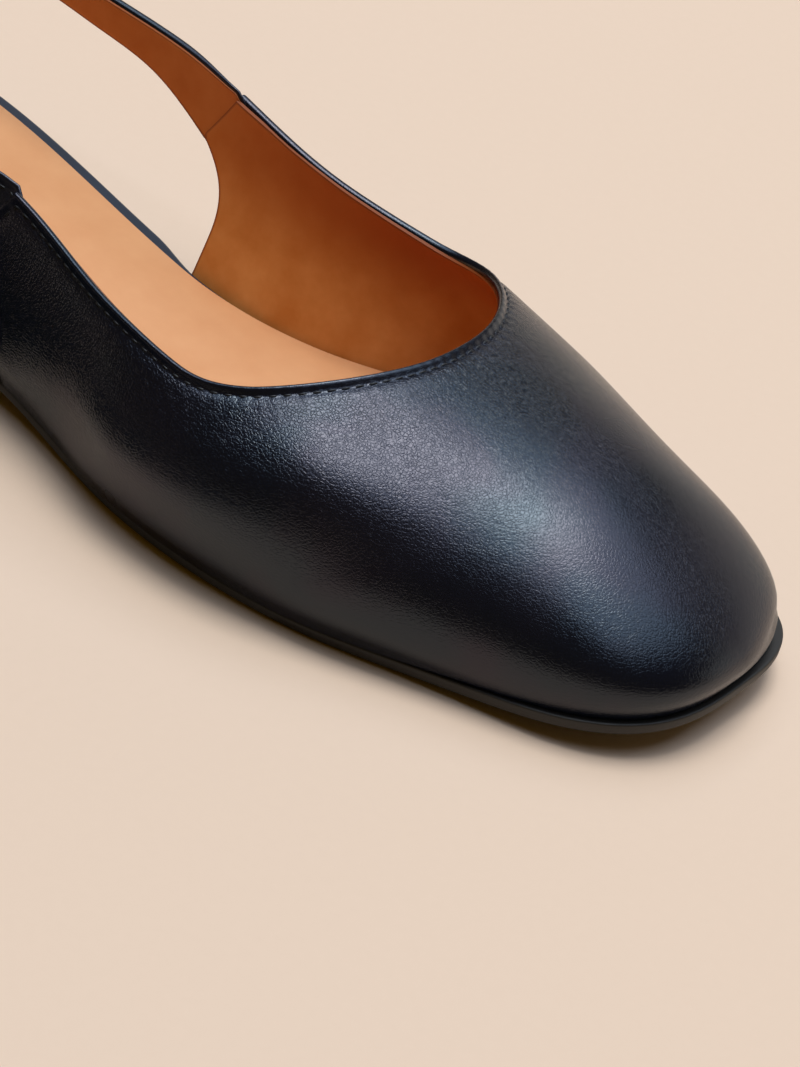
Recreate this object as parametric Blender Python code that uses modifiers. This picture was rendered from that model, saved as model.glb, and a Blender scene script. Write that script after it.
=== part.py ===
"""Right-foot sling back flat with a soft square toe: upper, sling strap, sock, insole, outsole and heel.

Units are metres. The toe points to -Y, +X is the wearer's left, which on a right shoe is the inner (medial)
side, and +Z is up. The origin lies on the floor under the middle of the heel. A station is a distance from the
back of the outsole, measured towards the toe.
"""

import math
from collections import namedtuple

import bmesh
import bpy
import numpy as np

MM = 0.001

# Overall sizes
SHOE_LENGTH = 250 * MM
BALL_WIDTH = 78 * MM
VAMP_HEIGHT = 34 * MM
WING_HEIGHT = 39 * MM
HEEL_HEIGHT = 10 * MM
TOE_SPRING = 5.5 * MM
HEEL_CENTRE = 28 * MM

# Thicknesses and clearances
OUTSOLE_THICKNESS = 2.2 * MM
INSOLE_THICKNESS = 2.2 * MM
SOCK_THICKNESS = 0.8 * MM
UPPER_WALL = 1.8 * MM
STRAP_THICKNESS = 1.8 * MM
GAP = 0.3 * MM

# Plan of the toe and heel: lengths of their rounding, and powers of their superellipses
TOE_LENGTH = 0.142 * SHOE_LENGTH
TOE_SQUARENESS = 3.0
HEEL_LENGTH = 0.136 * SHOE_LENGTH
HEEL_SQUARENESS = 2.2

# Side view of the sole
HEEL_BREAST = 0.232 * SHOE_LENGTH
HEEL_TAPER = 1.5 * MM
TREAD_BACK = 0.632 * SHOE_LENGTH
TREAD_FRONT = 0.744 * SHOE_LENGTH
EDGE_ROUND = 0.6 * MM
WAIST_BEVEL = 0.9 * MM

# Insole and sock: what they leave free at the open waist, and inside the upper
SOCK_RIM = 2.6 * MM
WALL_CLEARANCE = 0.8 * MM
TUCK_START = 0.416 * SHOE_LENGTH
TUCK_END = 0.472 * SHOE_LENGTH

# Upper
WALL_BULGE = 0.064
FOOT_STRIP = 0.8 * MM
WING_FOOT = 0.486 * SHOE_LENGTH
WING_TIP = 0.476 * SHOE_LENGTH
WING_NOTCH = 0.456 * SHOE_LENGTH
NOTCH_START = 0.42
NOTCH_END = 0.68
NOTCH_POWER = 2.3
WING_REACH = 36 * MM
COLLAR_TURN = 0.64 * SHOE_LENGTH
THROAT = 0.75 * SHOE_LENGTH
COLLAR_SQUARENESS = 2.35

# Sling strap
STRAP_WIDTH = 7.5 * MM
STRAP_BACK = 6 * MM
STRAP_HEIGHT = 51.5 * MM
STRAP_JOINT = 0.876 * WING_HEIGHT
STRAP_SQUARENESS = 2.7
STRAP_LEAN = 1.2 * MM
STRAP_FADE = 30 * MM

# Mesh density. The upper's path from foot to topline has its steps crowded towards the foot
SIDE_ROWS = 34
ROUND_ROWS = 14
HEEL_SIDE_ROWS = 5
UPPER_COLUMNS = 88
UPPER_ROWS = 15
PATH_STEPS = 120
PATH_CROWDING = 3
SETTLING_PASSES = 4
TOE_DENSITY = 1.6
STRAP_COLUMNS = 76
STRAP_ROWS = 4
MERGE_DISTANCE = 0.01 * MM
SHARP_ANGLE = math.radians(40)

# station is a share of SHOE_LENGTH, crown of VAMP_HEIGHT, and medial, lateral, ridge and flare of BALL_WIDTH
Section = namedtuple("Section", "station medial lateral ridge flare crown wall_power crown_power")
SECTIONS = [
    Section(0.00, 0.346, 0.346, 0.000, 0.150, 1.36, 3.90, 3.50),
    Section(0.12, 0.350, 0.359, 0.000, 0.150, 1.36, 3.90, 3.50),
    Section(0.25, 0.363, 0.377, 0.000, 0.150, 1.36, 3.90, 3.50),
    Section(0.38, 0.328, 0.405, 0.000, 0.150, 1.36, 3.90, 3.50),
    Section(0.50, 0.298, 0.406, 0.000, 0.145, 1.36, 3.80, 3.40),
    Section(0.60, 0.350, 0.482, 0.000, 0.110, 1.33, 3.10, 2.80),
    Section(0.70, 0.488, 0.518, 0.000, 0.025, 1.12, 2.70, 2.40),
    Section(0.80, 0.496, 0.470, 0.020, 0.000, 0.93, 2.60, 2.05),
    Section(0.90, 0.447, 0.365, 0.038, 0.000, 0.75, 2.38, 1.68),
    Section(1.00, 0.425, 0.325, 0.045, 0.000, 0.46, 2.00, 1.36),
]

# Height of the topline above the floor, as a share of WING_HEIGHT, up to where the throat rises over the vamp
Topline = namedtuple("Topline", "station height")
TOPLINE = [
    Topline(0.456, 1.020),
    Topline(0.476, 0.993),
    Topline(0.512, 0.937),
    Topline(0.560, 0.870),
    Topline(0.600, 0.834),
    Topline(0.648, 0.795),
    Topline(0.688, 0.777),
]

# The strap by its share of the way forward from the back of the heel to the wing. rise is its share of the way
# up from STRAP_JOINT to STRAP_HEIGHT, and width a share of STRAP_WIDTH
StrapSection = namedtuple("StrapSection", "forward rise width")
STRAP_SECTIONS = [
    StrapSection(0.00, 1.000, 1.00),
    StrapSection(0.20, 0.834, 1.00),
    StrapSection(0.50, 0.510, 1.00),
    StrapSection(0.79, 0.279, 1.02),
    StrapSection(0.86, 0.214, 1.06),
    StrapSection(0.93, 0.119, 1.22),
    StrapSection(1.00, 0.000, 1.47),
]


def smooth_curve(xs, ys):
    """A natural cubic through the points, as a function that stays level beyond its two ends."""
    xs, ys = np.asarray(xs, float), np.asarray(ys, float)
    step, count = np.diff(xs), len(xs)
    matrix, right = np.eye(count), np.zeros(count)
    for i in range(1, count - 1):
        matrix[i, i - 1:i + 2] = step[i - 1], 2 * (step[i - 1] + step[i]), step[i]
        right[i] = 6 * ((ys[i + 1] - ys[i]) / step[i] - (ys[i] - ys[i - 1]) / step[i - 1])
    bend = np.linalg.solve(matrix, right)

    def value(x):
        x = np.clip(x, xs[0], xs[-1])
        i = np.clip(np.searchsorted(xs, x) - 1, 0, count - 2)
        h, a, b = step[i], xs[i + 1] - x, x - xs[i]
        cubic = bend[i] * a**3 / (6 * h) + bend[i + 1] * b**3 / (6 * h)
        return cubic + (ys[i] / h - bend[i] * h / 6) * a + (ys[i + 1] / h - bend[i + 1] * h / 6) * b

    return value


def section_curve(column, size=1.0):
    """A column of SECTIONS, times the size that it is a share of, as a function of the station."""
    stations = [row.station * SHOE_LENGTH for row in SECTIONS]
    return smooth_curve(stations, [getattr(row, column) * size for row in SECTIONS])


medial = section_curve("medial", BALL_WIDTH)
lateral = section_curve("lateral", BALL_WIDTH)
ridge = section_curve("ridge", BALL_WIDTH)
flare = section_curve("flare", BALL_WIDTH)
crown = section_curve("crown", VAMP_HEIGHT)
wall_power = section_curve("wall_power")
crown_power = section_curve("crown_power")
topline_height = smooth_curve(
    [row.station * SHOE_LENGTH for row in TOPLINE], [row.height * WING_HEIGHT for row in TOPLINE]
)


def ease(t):
    """0 to 1 with level ends."""
    t = np.clip(t, 0, 1)
    return t * t * (3 - 2 * t)


def sole_rise(station):
    """Height of the outsole's underside: the heel seat, the arch, the flat tread and the toe spring."""
    station = np.asarray(station, float)
    arch = HEEL_HEIGHT * ease((TREAD_BACK - station) / (TREAD_BACK - HEEL_BREAST))
    spring = TOE_SPRING * np.clip((station - TREAD_FRONT) / (SHOE_LENGTH - TREAD_FRONT), 0, None) ** 2
    return arch + spring


def above_sole(height):
    """A surface that follows the outsole's top at this height over it."""
    return lambda station: sole_rise(station) + OUTSOLE_THICKNESS + height


def place(station, x, z):
    """A point of the shoe in world coordinates."""
    return np.stack(np.broadcast_arrays(x, HEEL_CENTRE - station, z), axis=-1)


def toe_share(station):
    """0 up to where the toe's rounding starts, and 1 at its tip."""
    return np.clip((station - (SHOE_LENGTH - TOE_LENGTH)) / TOE_LENGTH, 0, None)


def last_point(station, across):
    """A point of the upper's outer surface. across runs from -1 on the lateral feather line to 1 on the medial.

    Each section is a superellipse of across over the crown. In the toe, across and the toe's own share make one
    superellipse in plan, so that side walls and toe wall are one dome. The walls bulge between feather and crown,
    and the medial one leans out over the waist.
    """
    forward = toe_share(station)
    reach = (np.abs(across) ** TOE_SQUARENESS + forward**TOE_SQUARENESS) ** (1 / TOE_SQUARENESS)
    level = (1 - np.clip(reach, 0, 1) ** wall_power(station)) ** (1 / crown_power(station))
    bulge = WALL_BULGE * 4 * level * (1 - level)
    half = np.where(across > 0, medial(station) - ridge(station), lateral(station) + ridge(station))
    x = ridge(station) + half * across * (1 + bulge) + flare(station) * level * np.clip(across, 0, None)
    z = sole_rise(station) + OUTSOLE_THICKNESS + GAP + FOOT_STRIP + (crown(station) - FOOT_STRIP) * level
    return place(station + TOE_LENGTH * bulge * forward**2, x, z)


def superellipse(power, count):
    """A quarter turn: shares that run from 0 to 1 and from 1 to 0 along it."""
    turn = np.linspace(0, math.pi / 2, count)
    return np.sin(turn) ** (2 / power), np.cos(turn) ** (2 / power)


def outline(inset_back=0.0, inset_front=0.0, change=(TUCK_START, TUCK_END), last_station=SHOE_LENGTH):
    """Plan of the sole from the heel's back forwards: stations, and x on the medial and on the lateral side.

    The inset from the last's own outline goes from inset_back to inset_front between the two stations of change.
    """
    rise, fall = superellipse(HEEL_SQUARENESS, ROUND_ROWS)
    heel_stations = HEEL_LENGTH - (HEEL_LENGTH - inset_back) * fall
    toe_start = SHOE_LENGTH - TOE_LENGTH
    if last_station < SHOE_LENGTH:
        sides = np.linspace(HEEL_LENGTH, last_station, HEEL_SIDE_ROWS + 1)[1:]
        stations = np.concatenate([heel_stations, sides])
        share = np.concatenate([rise, np.ones(HEEL_SIDE_ROWS)])
    else:
        toe_rise, toe_fall = superellipse(TOE_SQUARENESS, ROUND_ROWS)
        sides = np.linspace(HEEL_LENGTH, toe_start, SIDE_ROWS)[1:-1]
        stations = np.concatenate([heel_stations, sides, toe_start + (TOE_LENGTH - inset_front) * toe_rise])
        share = np.concatenate([rise, np.ones(len(sides)), toe_fall])
    inset = inset_back + (inset_front - inset_back) * ease((stations - change[0]) / (change[1] - change[0]))
    centre = ridge(stations)
    medial_x = centre + (medial(stations) - centre - inset) * share
    lateral_x = centre - (lateral(stations) + centre - inset) * share
    return stations, medial_x, lateral_x


def make_material(name, hex_colour, roughness):
    material = bpy.data.materials.new(name)
    material.use_nodes = True
    srgb = [int(hex_colour[i:i + 2], 16) / 255 for i in (0, 2, 4)]
    linear = [c / 12.92 if c <= 0.04045 else ((c + 0.055) / 1.055) ** 2.4 for c in srgb]
    shader = material.node_tree.nodes["Principled BSDF"]
    shader.inputs["Base Color"].default_value = (*linear, 1)
    shader.inputs["Roughness"].default_value = roughness
    return material


def make_object(name, points, faces, material, collection):
    """A smooth-shaded mesh object with doubled points merged and its faces turned outwards."""
    mesh = bpy.data.meshes.new(name)
    mesh.from_pydata([tuple(map(float, point)) for point in points], [], faces)
    work = bmesh.new()
    work.from_mesh(mesh)
    bmesh.ops.remove_doubles(work, verts=work.verts, dist=MERGE_DISTANCE)
    bmesh.ops.recalc_face_normals(work, faces=work.faces)
    work.to_mesh(mesh)
    work.free()
    mesh.materials.append(material)
    mesh.shade_smooth()
    mesh.set_sharp_from_angle(angle=SHARP_ANGLE)
    obj = bpy.data.objects.new(name, mesh)
    collection.objects.link(obj)
    return obj


def make_slab(name, layers, material, collection):
    """A solid between rings stacked from top to bottom. A layer is an outline and its height over the station."""
    points, rings = [], []
    for (stations, medial_x, lateral_x), height in layers:
        z = height(stations)
        medial_side = place(stations, medial_x, z)
        lateral_side = place(stations, lateral_x, z)
        rings.append(len(points))
        points.extend([*medial_side, *lateral_side[::-1]])
    size = rings[1]
    half = size // 2
    faces = []
    for upper, lower in zip(rings, rings[1:]):
        for i in range(size):
            j = (i + 1) % size
            faces.append((upper + i, upper + j, lower + j, lower + i))
    for ring in (rings[0], rings[-1]):
        for i in range(half - 1):
            faces.append((ring + i, ring + i + 1, ring + size - 2 - i, ring + size - 1 - i))
    return make_object(name, points, faces, material, collection)


def make_outsole(material, collection):
    """The slab that follows the last's outline, arch and toe spring. Its lower edge is bevelled behind the ball."""
    plan = outline()
    bottom = outline(EDGE_ROUND + WAIST_BEVEL, EDGE_ROUND, (TREAD_BACK, SHOE_LENGTH - TOE_LENGTH))
    layers = [
        (plan, above_sole(0)),
        (plan, above_sole(EDGE_ROUND - OUTSOLE_THICKNESS)),
        (bottom, above_sole(-OUTSOLE_THICKNESS)),
    ]
    return make_slab("outsole", layers, material, collection)


def make_heel(material, collection):
    """The low block under the heel seat, with a straight breast and sides that taper to the floor."""
    inset = EDGE_ROUND + WAIST_BEVEL
    seat = outline(inset, inset, last_station=HEEL_BREAST)
    floor = outline(inset + HEEL_TAPER, inset + HEEL_TAPER, last_station=HEEL_BREAST - HEEL_TAPER)
    layers = [(seat, lambda station: sole_rise(station) - GAP), (floor, np.zeros_like)]
    return make_slab("heel", layers, material, collection)


def make_insole(material, collection):
    """The board wrapped in upper leather. Its edge shows along the open waist and tucks in between the wings."""
    inside = UPPER_WALL + WALL_CLEARANCE
    plan, rounded = outline(0, inside), outline(EDGE_ROUND, inside + EDGE_ROUND)
    layers = [
        (rounded, above_sole(GAP + INSOLE_THICKNESS)),
        (plan, above_sole(GAP + INSOLE_THICKNESS - EDGE_ROUND)),
        (plan, above_sole(GAP)),
    ]
    return make_slab("insole", layers, material, collection)


def make_sock(material, collection):
    """The thin lining on the insole, which leaves a rim of it free along the open waist and round the heel."""
    plan = outline(SOCK_RIM, UPPER_WALL + 2 * WALL_CLEARANCE)
    base = 2 * GAP + INSOLE_THICKNESS
    layers = [(plan, above_sole(base + SOCK_THICKNESS)), (plan, above_sole(base))]
    return make_slab("sock_lining", layers, material, collection)


def resample(values, lengths, shares):
    """Rows of values at the given shares of the running lengths."""
    at = shares * lengths[-1]
    return np.stack([np.interp(at, lengths, column) for column in np.transpose(values)], axis=-1)


def running_length(points):
    return np.concatenate([[0], np.cumsum(np.linalg.norm(np.diff(points, axis=0), axis=1))])


def feather_curve():
    """The upper's foot as station and across, from the medial wing round the toe to the lateral wing."""
    rise, fall = superellipse(TOE_SQUARENESS, PATH_STEPS)
    toe_start = SHOE_LENGTH - TOE_LENGTH
    side = np.linspace(WING_FOOT, toe_start, PATH_STEPS)[:-1]
    half = np.stack([np.append(side, toe_start + TOE_LENGTH * rise), np.append(np.ones(len(side)), fall)], 1)
    return np.concatenate([half, half[-2::-1] * (1, -1)])


def topline_curve():
    """The collar as station and across, from the medial wing's tip round the throat to the lateral one."""
    rise, fall = superellipse(COLLAR_SQUARENESS, PATH_STEPS)
    side = np.linspace(WING_TIP, COLLAR_TURN, PATH_STEPS)[:-1]
    stations = np.append(side, COLLAR_TURN + (THROAT - COLLAR_TURN) * rise)
    turn = np.append(np.ones(len(side)), fall)
    level = (topline_height(stations) - sole_rise(stations) - OUTSOLE_THICKNESS) / crown(stations)
    across = (1 - level ** crown_power(stations)) ** (1 / wall_power(stations)) * turn
    half = np.stack([stations, across], axis=1)
    return np.concatenate([half, half[-2::-1] * (1, -1)])


def wing_station(share, foot, tip):
    """Station of the wing's rear edge by its share of the height: upright, then swept back to the strap."""
    sweep = np.clip((share - NOTCH_START) / (NOTCH_END - NOTCH_START), 0, 1) ** NOTCH_POWER
    notch = foot + (WING_NOTCH - foot) * sweep
    return notch + (tip - WING_NOTCH) * np.clip((share - NOTCH_END) / (1 - NOTCH_END), 0, 1)


def upper_surface():
    """A grid of points on the upper's outer surface, from its foot to the topline.

    Row 0 is the foot and row 1 lies FOOT_STRIP straight above it, so that the wall meets the sole upright.
    """
    feather, collar = feather_curve(), topline_curve()
    feather_points = last_point(*feather.T)
    collar_points = last_point(*collar.T)
    feather_length = running_length(feather_points)
    density = 1 + TOE_DENSITY * ease(toe_share(feather[:, 0]) * 2)
    weight = np.cumsum(density * np.gradient(feather_length))
    even = np.linspace(weight[0], weight[-1], UPPER_COLUMNS)
    shares = np.interp(even, weight, feather_length) / feather_length[-1]
    start = resample(feather, feather_length, shares)
    end = resample(collar, running_length(collar_points), shares)
    grid = np.empty((UPPER_ROWS, UPPER_COLUMNS, 3))
    for column in range(UPPER_COLUMNS):
        (foot, foot_across), (top, top_across) = start[column], end[column]
        way = np.linspace(0, 1, PATH_STEPS) ** PATH_CROWDING
        across = foot_across + (top_across - foot_across) * way
        straight = foot + (top - foot) * way
        rear = 1 - ease((foot - WING_FOOT) / WING_REACH)
        path = last_point(straight, across)
        for _ in range(SETTLING_PASSES):
            share = (path[:, 2] - path[0, 2]) / (path[-1, 2] - path[0, 2])
            swept = wing_station(share, foot, top)
            path = last_point(straight + rear * (swept - straight), across)
        grid[0, column] = path[0] - (0, 0, FOOT_STRIP)
        grid[1:, column] = resample(path, running_length(path), np.linspace(0, 1, UPPER_ROWS - 1))
    return grid


def grid_faces(rows, columns):
    return [
        (r * columns + c, r * columns + c + 1, (r + 1) * columns + c + 1, (r + 1) * columns + c)
        for r in range(rows - 1)
        for c in range(columns - 1)
    ]


def thicken(obj, thickness):
    """A wall of this thickness on the inner side of an open surface whose faces look outwards."""
    solidify = obj.modifiers.new("wall", "SOLIDIFY")
    solidify.thickness = thickness
    solidify.offset = -1
    return obj


def make_shell(name, grid, thickness, material, collection):
    rows, columns = grid.shape[:2]
    obj = make_object(name, grid.reshape(-1, 3), grid_faces(rows, columns), material, collection)
    middle = obj.data.polygons[len(obj.data.polygons) // 2]
    outwards = middle.center - sum((v.co for v in obj.data.vertices), middle.center * 0) / len(obj.data.vertices)
    if middle.normal.dot(outwards) < 0:
        obj.data.flip_normals()
    return thicken(obj, thickness)


def make_upper(material, collection):
    """Vamp and two wings as one wall, open at the collar, behind the wings and underneath."""
    return make_shell("upper", upper_surface(), UPPER_WALL, material, collection)


def wall_x(side, station, z):
    """Where the upper's outer surface, or its run on behind the wings, stands at this height. side is 1 or -1."""
    base = sole_rise(station) + OUTSOLE_THICKNESS + GAP + FOOT_STRIP
    level = (z - base) / (crown(station) - FOOT_STRIP)
    across = side * (1 - level ** crown_power(station)) ** (1 / wall_power(station))
    return last_point(station, across)[..., 0]


def make_strap(material, collection):
    """The band from wing to wing round the heel, its ends cut along the wings' slanted ends."""
    reach = WING_NOTCH - STRAP_BACK
    forward = [row.forward for row in STRAP_SECTIONS]
    climb = STRAP_HEIGHT - STRAP_JOINT
    height = smooth_curve(forward, [STRAP_JOINT + row.rise * climb for row in STRAP_SECTIONS])
    width = smooth_curve(forward, [row.width * STRAP_WIDTH for row in STRAP_SECTIONS])
    rise, fall = superellipse(STRAP_SQUARENESS, STRAP_COLUMNS)
    up = np.linspace(-0.5, 0.5, STRAP_ROWS)[:, None]
    along = (WING_NOTCH - reach * fall - STRAP_BACK)[None, :] / reach
    fade = ease(1 - (1 - along) * reach / STRAP_FADE)
    z = height(along) + up * width(along)
    station = STRAP_BACK + along * reach + fade * ((up + 0.5) * (WING_TIP - WING_NOTCH) - GAP)
    sides = []
    for side in (1, -1):
        round_heel = wall_x(side, WING_NOTCH, STRAP_JOINT) * rise[None, :] - side * up * STRAP_LEAN
        beside_wing = wall_x(side, station, STRAP_JOINT + fade * (z - STRAP_JOINT))
        sides.append(place(station, fade * beside_wing + (1 - fade) * round_heel, z))
    grid = np.concatenate([sides[0][:, ::-1], sides[1][:, 1:]], axis=1)
    return make_shell("sling_strap", grid, STRAP_THICKNESS, material, collection)


def main():
    for obj in list(bpy.data.objects):
        bpy.data.objects.remove(obj)
    shoe = bpy.data.collections.new("sling_back_flat")
    bpy.context.scene.collection.children.link(shoe)
    navy = make_material("navy_leather", "14171E", 0.42)
    strap_leather = make_material("strap_leather", "171A22", 0.45)
    wrapped = make_material("wrapped_leather", "232B3A", 0.5)
    tan = make_material("tan_leather", "E5A577", 0.6)
    sole = make_material("sole_rubber", "15120F", 0.6)
    heel_block = make_material("heel_block", "15120F", 0.55)
    make_outsole(sole, shoe)
    make_heel(heel_block, shoe)
    make_insole(wrapped, shoe)
    make_sock(tan, shoe)
    make_upper(navy, shoe)
    make_strap(strap_leather, shoe)


main()
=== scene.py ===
"""Looks of a right-foot sling back flat: navy calf upper with a folded and stitched edge, tan lining and
sock, an insole wrapped in navy leather, and a thin rubber sole on a low block heel.

Metres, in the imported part's frame: the toe points to -Y, +X is the inner (medial) side and z = 0 the floor.
A station is a distance from the back of the outsole, measured towards the toe. A height over the last counts
outwards from the upper's outer surface in the part.
"""

import math
from collections import namedtuple

import bmesh
import bpy
import numpy as np
from mathutils import Matrix, Vector, noise


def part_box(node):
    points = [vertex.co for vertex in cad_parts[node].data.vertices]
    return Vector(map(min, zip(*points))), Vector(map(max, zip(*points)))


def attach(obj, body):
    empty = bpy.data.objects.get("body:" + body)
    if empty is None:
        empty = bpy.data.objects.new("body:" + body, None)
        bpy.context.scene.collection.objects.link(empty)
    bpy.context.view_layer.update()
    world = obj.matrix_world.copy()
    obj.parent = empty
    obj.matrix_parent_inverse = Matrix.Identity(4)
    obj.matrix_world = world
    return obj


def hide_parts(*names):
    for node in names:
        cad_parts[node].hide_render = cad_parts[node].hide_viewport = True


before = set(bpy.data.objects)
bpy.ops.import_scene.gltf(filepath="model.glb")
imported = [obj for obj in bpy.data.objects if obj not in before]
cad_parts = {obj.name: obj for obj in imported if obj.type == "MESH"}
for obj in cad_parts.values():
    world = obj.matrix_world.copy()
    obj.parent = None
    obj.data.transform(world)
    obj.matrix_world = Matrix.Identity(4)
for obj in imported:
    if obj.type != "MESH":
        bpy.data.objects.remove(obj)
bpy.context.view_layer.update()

bl_info = {
    "name": "Sling back flat",
    "version": (1, 0, 0),
    "blender": (4, 5, 0),
    "location": "3D View > Sidebar > Shoe",
    "description": "Builds the leather, lining, stitches, sole and stage of a sling back flat",
    "category": "Add Mesh",
}

MM = 0.001

# Sizes that the part fixes, so that each piece here lies on its solid
SHOE_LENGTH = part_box("outsole")[1][1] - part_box("outsole")[0][1]
HEEL_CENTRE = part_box("outsole")[1][1]
BALL_WIDTH = 78 * MM
VAMP_HEIGHT = 34 * MM
WING_HEIGHT = 39 * MM
HEEL_HEIGHT = 10 * MM
TOE_SPRING = 5.5 * MM
OUTSOLE_THICKNESS = 2.2 * MM
INSOLE_THICKNESS = 2.2 * MM
UPPER_WALL = 1.8 * MM
GAP = 0.3 * MM

# Plan of toe and heel, and side view of the sole
TOE_LENGTH = 0.142 * SHOE_LENGTH
TOE_SQUARENESS = 3.0
HEEL_LENGTH = 0.136 * SHOE_LENGTH
HEEL_SQUARENESS = 2.2
HEEL_BREAST = 0.232 * SHOE_LENGTH
HEEL_TAPER = 1.5 * MM
TREAD_BACK = 0.632 * SHOE_LENGTH
TREAD_FRONT = 0.744 * SHOE_LENGTH
EDGE_ROUND = 0.6 * MM
WAIST_BEVEL = 0.9 * MM

# Upper: its walls, the rear edge of its wings and its collar
WALL_BULGE = 0.064
FOOT_STRIP = 0.8 * MM
WING_FOOT = 0.486 * SHOE_LENGTH
WING_TIP = 0.476 * SHOE_LENGTH
WING_NOTCH = 0.456 * SHOE_LENGTH
NOTCH_START = 0.20
NOTCH_END = 0.68
NOTCH_POWER = 2.6
WING_REACH = 36 * MM
COLLAR_TURN = 0.64 * SHOE_LENGTH
THROAT = 0.75 * SHOE_LENGTH
COLLAR_SQUARENESS = 2.35

# Sling strap
STRAP_WIDTH = 7.5 * MM
STRAP_BACK = 6 * MM
STRAP_HEIGHT = 51.5 * MM
STRAP_JOINT = 0.876 * WING_HEIGHT
STRAP_SQUARENESS = 2.7
STRAP_LEAN = 1.2 * MM
STRAP_FADE = 30 * MM

# station is a share of SHOE_LENGTH, crown of VAMP_HEIGHT, and medial, lateral, ridge and flare of BALL_WIDTH
Section = namedtuple("Section", "station medial lateral ridge flare crown wall_power crown_power")
SECTIONS = [
    Section(0.00, 0.346, 0.346, 0.000, 0.150, 1.36, 3.90, 3.50),
    Section(0.12, 0.350, 0.359, 0.000, 0.150, 1.36, 3.90, 3.50),
    Section(0.25, 0.363, 0.377, 0.000, 0.150, 1.36, 3.90, 3.50),
    Section(0.38, 0.328, 0.405, 0.000, 0.150, 1.36, 3.90, 3.50),
    Section(0.50, 0.298, 0.406, 0.000, 0.145, 1.36, 3.80, 3.40),
    Section(0.60, 0.350, 0.482, 0.000, 0.110, 1.33, 3.10, 2.80),
    Section(0.70, 0.488, 0.518, 0.000, 0.025, 1.12, 2.70, 2.40),
    Section(0.80, 0.496, 0.470, 0.020, 0.000, 0.93, 2.60, 2.05),
    Section(0.90, 0.442, 0.365, 0.038, 0.000, 0.73, 2.50, 1.82),
    Section(1.00, 0.408, 0.325, 0.045, 0.000, 0.42, 3.00, 2.05),
]

# Height of the topline above the floor, as a share of WING_HEIGHT, up to where the throat rises over the vamp
Topline = namedtuple("Topline", "station height")
TOPLINE = [
    Topline(0.456, 1.020),
    Topline(0.476, 0.993),
    Topline(0.512, 0.937),
    Topline(0.560, 0.870),
    Topline(0.600, 0.834),
    Topline(0.648, 0.795),
    Topline(0.688, 0.777),
]

# The strap by its share of the way forward from the back of the heel to the wing. rise is its share of the
# way up from STRAP_JOINT to STRAP_HEIGHT, and width a share of STRAP_WIDTH
StrapSection = namedtuple("StrapSection", "forward rise width")
STRAP_SECTIONS = [
    StrapSection(0.00, 1.000, 1.00),
    StrapSection(0.20, 0.834, 1.00),
    StrapSection(0.50, 0.510, 1.00),
    StrapSection(0.79, 0.279, 1.02),
    StrapSection(0.86, 0.209, 1.11),
    StrapSection(0.93, 0.108, 1.36),
    StrapSection(1.00, -0.012, 1.66),
]

# The folded edge in section, in millimetres: how high its outer and its inner face stand over the last, by
# the distance from the fold. The fold is a rounded nose with its crest close to the edge, then it slopes down
# to the groove that the stitches pull in
Fold = namedtuple("Fold", "distance outer inner")
FOLD = [
    Fold(0.00, -0.50, -0.50),
    Fold(0.03, -0.26, -0.74),
    Fold(0.10, -0.06, -0.92),
    Fold(0.20, 0.10, -1.05),
    Fold(0.34, 0.20, -1.15),
    Fold(0.50, 0.23, -1.21),
    Fold(0.70, 0.19, -1.24),
    Fold(0.95, 0.09, -1.24),
    Fold(1.20, -0.04, -1.20),
    Fold(1.45, -0.17, -1.14),
    Fold(1.65, -0.24, -1.08),
    Fold(1.85, -0.25, -1.04),
    Fold(2.05, -0.20, -1.02),
    Fold(2.30, -0.10, -1.00),
    Fold(2.70, 0.00, -1.00),
    Fold(3.30, 0.05, -1.00),
    Fold(4.20, 0.05, -1.00),
    Fold(5.60, 0.03, -1.00),
    Fold(7.50, 0.00, -1.00),
]

# Where the upper leaves the last's plain section. Each pair says where the change starts and how far it takes
# to be complete, as a distance out from the middle, a station, a distance from the edge or a height
SHOULDER_OUT = 23 * MM, 12 * MM
SHOULDER_ALONG = 138 * MM, 18 * MM
SHOULDER_SWELLS = 0.0, 16 * MM
SHOULDER_FADES = 16 * MM, 15 * MM
LEAN_OUT = 2 * MM, 18 * MM
LEAN_ALONG = 194 * MM, 30 * MM
LEAN_UP = -2 * MM, 8 * MM
ROLL_EASES_ALONG = 200 * MM, 35 * MM
ROLL_EASES_OUT = 0.0, 20 * MM
ROLL_HEIGHT_AT_TOE = 1.4 * MM
ROLL_HEIGHT_AT_SIDE = 6.0 * MM

# Relief of the leather: waves as long as WAVER_LENGTH that die out towards the edge and the foot, and puckers
# at the needle holes
WAVER_LENGTH = 17 * MM
WAVER_FROM_EDGE = 0.0, 14 * MM
WAVER_FROM_FOOT = 0.0, 9 * MM
PUCKER_REACH = 1.4 * MM
PUCKER_FROM_EDGE = 0.0, 0.7 * MM

# How high a stitch's middle lies over its groove, as a share of the thread's diameter
STITCH_RISE = 0.2

# The linings' rows and columns by their distance from the cut edge, in millimetres, how that edge is rounded,
# and how the upper's lining swells over the strap's ends
LINING_STEPS = 0.0, 0.12, 0.4, 1.0, 2.2, 4.5
STRAP_LINING_STEPS = LINING_STEPS[:4]
CUT_ROUNDING = 0.12 * MM
CUT_ROUND_WIDTH = 0.4 * MM
JOINT_SWELL = 0.45 * MM
JOINT_SWELL_REACH = 11 * MM

# The strap: how much of the fold's section each edge has, over what length it dips to the wing, how far each
# layer runs on under it, and how it narrows and drops there
STRAP_FOLD_WIDTH = 3 * MM
STRAP_DIP_LENGTH = 13 * MM
LEATHER_UNDER_WING = 6 * MM
LINING_UNDER_WING = 4 * MM
STITCHES_UNDER_WING = 1 * MM
TUCK_TAPER = 1.2
TUCK_DROP = 0.35

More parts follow.
